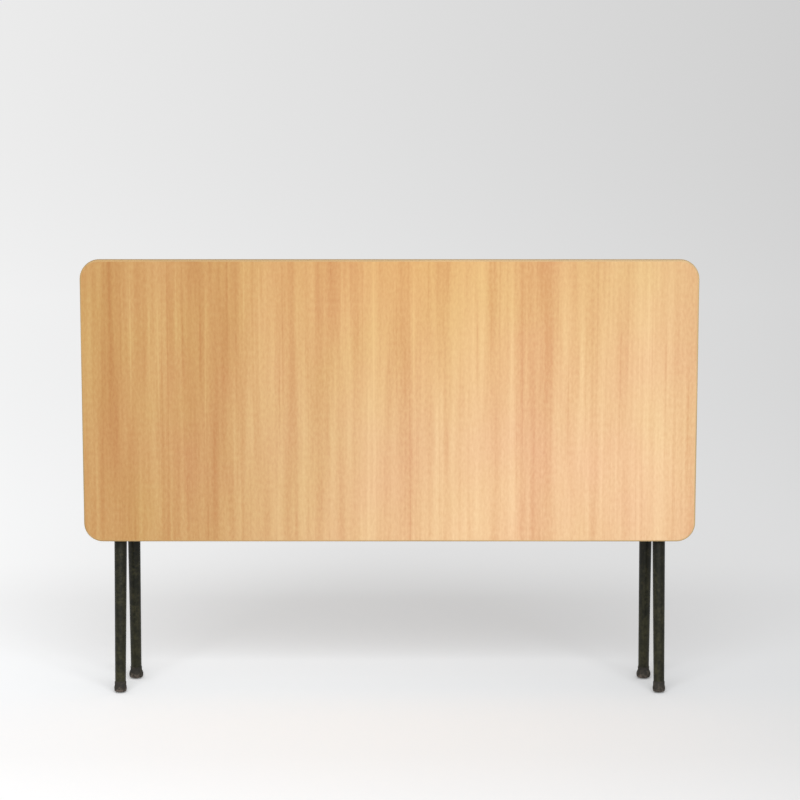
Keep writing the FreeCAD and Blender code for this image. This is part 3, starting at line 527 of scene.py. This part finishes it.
for kind, head, shank, places, seed in (("batten_screws", sunk_head, sunk_shank, batten_places, 4),
                                        ("bracket_screws", round_head, round_shank, flange_places, 9)):
    shank_end = head_height + shank
    form = bmesh.new()
    turned(form, head + [(shank_end, shank_radius), (shank_end + tip_length, tip_radius)], screw_sides,
           (0, 0, 0), 1)
    pattern = as_piece(kind + "_pattern", form, zinc)
    blade = bmesh.new()
    bmesh.ops.create_cube(blade, size=1.0)
    bmesh.ops.scale(blade, vec=(2 * slot_depth, 3 * head_radius, slot_width), verts=blade.verts)
    driver = as_piece("driver_blade", blade, zinc)
    slotted = pattern.modifiers.new("slot", "BOOLEAN")
    slotted.object = driver
    cut_head = bpy.data.meshes.new_from_object(pattern.evaluated_get(bpy.context.evaluated_depsgraph_get()))
    pattern.modifiers.remove(slotted)
    pattern.data = cut_head
    screws = grown("slotted_" + kind, path_mesh(kind + "_places", [([place], False) for place in places]),
                   driven, {"Screw": pattern, "Slot Seed": seed, "Finish": zinc})
    for helper in (pattern, driver):
        bpy.data.objects.remove(helper)
    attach(screws, "top")
    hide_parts(kind)

# Brackets: folded steel plates screwed under the top, which turn on the pivot bolts. They are
# dipped in the same enamel as the frames.
dress(enamel, "top_bracket_left", "top_bracket_right")

# Locks: turned barrels on the brackets, with sliding steel pins and moulded knobs to draw them.
# The knobs' phenolic is a brown-black plastic with a faint swirl and a clear gloss.
phenolic, tree, shader = finish("black_phenolic", IOR=1.6)
spot = add(tree, "ShaderNodeTexCoord").outputs["Object"]
swirl_size = 0.005
swirl = add(tree, "ShaderNodeTexNoise", {"Vector": spot, "Scale": 1 / swirl_size, "Detail": 4.0,
                                         "Distortion": 1.2})
shade = add(tree, "ShaderNodeValToRGB", {"Fac": swirl.outputs["Fac"]},
            stops=((0.35, "#141211"), (0.65, "#2B2420")))
tree.links.new(shade.outputs["Color"], shader.inputs["Base Color"])
gloss = add(tree, "ShaderNodeMapRange", {"Value": swirl.outputs["Fac"], "To Min": 0.22, "To Max": 0.36})
tree.links.new(gloss.outputs["Result"], shader.inputs["Roughness"])
dress(zinc, "lock_barrel_left", "lock_barrel_right", "lock_pin_left", "lock_pin_right")
flutes, flute_depth, flute_fade, grip_start, grip_end = 12, 0.0009, 0.0012, 0.0036, 0.0098
knob_radius, knob_x, knob_reach, knob_sides = 0.009, 0.6581, 0.045, 96
grip_rows, grip_step, crown_height, crown_flat = 9, 0.0006, 0.0042, 0.0010


def fluted(distance, radius, turn):
    """Shallow finger flutes in the knob's grip, fading out at both its ends."""
    reach = min(distance - grip_start, grip_end - distance) / flute_fade
    return radius - flute_depth * min(max(reach, 0), 1) * (0.5 + 0.5 * math.cos(flutes * turn)) ** 2


neck = [(0.0, 0.0054), (0.0004, 0.0059), (0.0028, 0.0083), (0.0034, 0.0088), (0.0039, knob_radius)]
grip = [(grip_end - grip_step * row, knob_radius) for row in range(grip_rows, 0, -1)]
crown = [(grip_end + crown_height * math.sin(turn), crown_flat + (knob_radius - crown_flat) * math.cos(turn))
         for turn in (math.radians(angle) for angle in (0, 12, 25, 40, 55, 70, 82, 90))]
for side, name in ((-1, "left"), (1, "right")):
    form = bmesh.new()
    turned(form, neck + grip + crown, knob_sides, (side * knob_x, axis_depth - knob_reach, axis_height), side,
           fluted)
    knob = as_piece("fluted_knob_" + name, form, phenolic)
    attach(knob, "lock_" + name)
    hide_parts("lock_knob_" + name)

# Floor: a wide pale matt floor, whiter on the left, a painted fall of light, that keeps the table's
# soft shadow. To the lens and in reflections it looks a little brighter than the light on it, more
# so behind the table and far off.
paper, tree, shader = finish("matt_studio_floor", Roughness=1.0, Specular_IOR_Level=0.0)
spot = add(tree, "ShaderNodeTexCoord").outputs["Object"]
place = add(tree, "ShaderNodeSeparateXYZ", {"Vector": spot}).outputs
fan_width, fan_growth = 0.95, 0.13
far = add(tree, "ShaderNodeMath", {0: place["Y"]}, operation="ABSOLUTE").outputs["Value"]
spread = add(tree, "ShaderNodeMath", {0: far, 1: fan_growth, 2: fan_width}, operation="MULTIPLY_ADD")
fan = add(tree, "ShaderNodeMath", {0: place["X"], 1: spread.outputs["Value"]}, operation="DIVIDE")
# painted light: the floor's colour falls from white on the left to grey on the right
painted_light_fall = add(tree, "ShaderNodeMapRange", {"Value": fan.outputs["Value"], "From Min": -1.0, "From Max": 1.0})
shade = add(tree, "ShaderNodeValToRGB", {"Fac": painted_light_fall.outputs["Result"]},
            stops=((0.0, "#FFFFFF"), (1.0, "#E2E2E2")))
tree.links.new(shade.outputs["Color"], shader.inputs["Base Color"])
ray = add(tree, "ShaderNodeLightPath").outputs
seen = ray["Is Camera Ray"]
for other in ("Is Glossy Ray", "Is Transmission Ray"):
    seen = add(tree, "ShaderNodeMath", {0: seen, 1: ray[other]}, operation="MAXIMUM").outputs["Value"]

# its glow rises from the table's front to its back, a little more far off on both sides, and in
# front where the soft box's light falls away
close = add(tree, "ShaderNodeMapRange", {"Value": place["Y"], "From Min": -0.6, "From Max": 1.2,
                                         "To Min": 0.02, "To Max": 0.24})
away = add(tree, "ShaderNodeMapRange", {"Value": far, "From Min": 1.2, "From Max": 6.4, "To Max": 0.09})
front = add(tree, "ShaderNodeMapRange", {"Value": place["Y"], "From Min": -2.0, "From Max": -8.0,
                                         "To Max": 0.21})
level = add(tree, "ShaderNodeMath", {0: close.outputs["Result"], 1: away.outputs["Result"]}, operation="ADD")
level = add(tree, "ShaderNodeMath", {0: level.outputs["Value"], 1: front.outputs["Result"]}, operation="ADD")
glow = add(tree, "ShaderNodeMath", {0: seen, 1: level.outputs["Value"]}, operation="MULTIPLY")
tree.links.new(shade.outputs["Color"], shader.inputs["Emission Color"])
tree.links.new(glow.outputs["Value"], shader.inputs["Emission Strength"])
half_span = 60.0
ground = bpy.data.meshes.new("floor")
ground.from_pydata([(x * half_span, y * half_span, 0) for x, y in ((-1, -1), (1, -1), (1, 1), (-1, 1))], [],
                   [(0, 1, 2, 3)])
ground.materials.append(paper)
floor = bpy.data.objects.new("floor", ground)
bpy.context.collection.objects.link(floor)

# Studio light: an even pale surround and one large soft box, in front and above the camera's line.
# The surround looks brighter to the lens and in reflections than the light it gives.
world = bpy.data.worlds.new("studio")
bpy.context.scene.world = world
world.use_nodes = True
tree = world.node_tree
surround = tree.nodes["Background"]
surround.inputs["Color"].default_value = linear("#FFFFFF")
ray = add(tree, "ShaderNodeLightPath").outputs
seen = ray["Is Camera Ray"]
for other in ("Is Glossy Ray", "Is Transmission Ray"):
    seen = add(tree, "ShaderNodeMath", {0: seen, 1: ray[other]}, operation="MAXIMUM").outputs["Value"]
surround_light, surround_look = 0.50, 0.76
lit = add(tree, "ShaderNodeMapRange", {"Value": seen, "To Min": surround_light, "To Max": surround_look})
tree.links.new(lit.outputs["Result"], surround.inputs["Strength"])
lamp = bpy.data.lights.new("key", "AREA")
lamp.shape = "RECTANGLE"
lamp.size = 6.4
lamp.size_y = 3.8
lamp.energy = 288
lamp.color = (0.95, 0.975, 1.0)
soft_box = bpy.data.objects.new("key", lamp)
soft_box.location = (0.1, -4.6, 3.5)
table_middle = Vector((0, 0, 0.5))
soft_box.rotation_euler = (table_middle - soft_box.location).to_track_quat("-Z", "Y").to_euler()
bpy.context.collection.objects.link(soft_box)

# Camera: some seven metres in front of the table and a little above a standing viewer's eyes, with
# a long lens that looks slightly down.
lens = bpy.data.cameras.new("camera")
lens.lens = 135
lens.sensor_width = 36
tilt_down = 9.93
camera = bpy.data.objects.new("camera", lens)
camera.location = (0.0237, -6.795, 1.855)
camera.rotation_euler = (math.radians(90 - tilt_down), 0, 0)
bpy.context.collection.objects.link(camera)
bpy.context.scene.camera = camera
bpy.context.scene.view_settings.view_transform = "Standard"
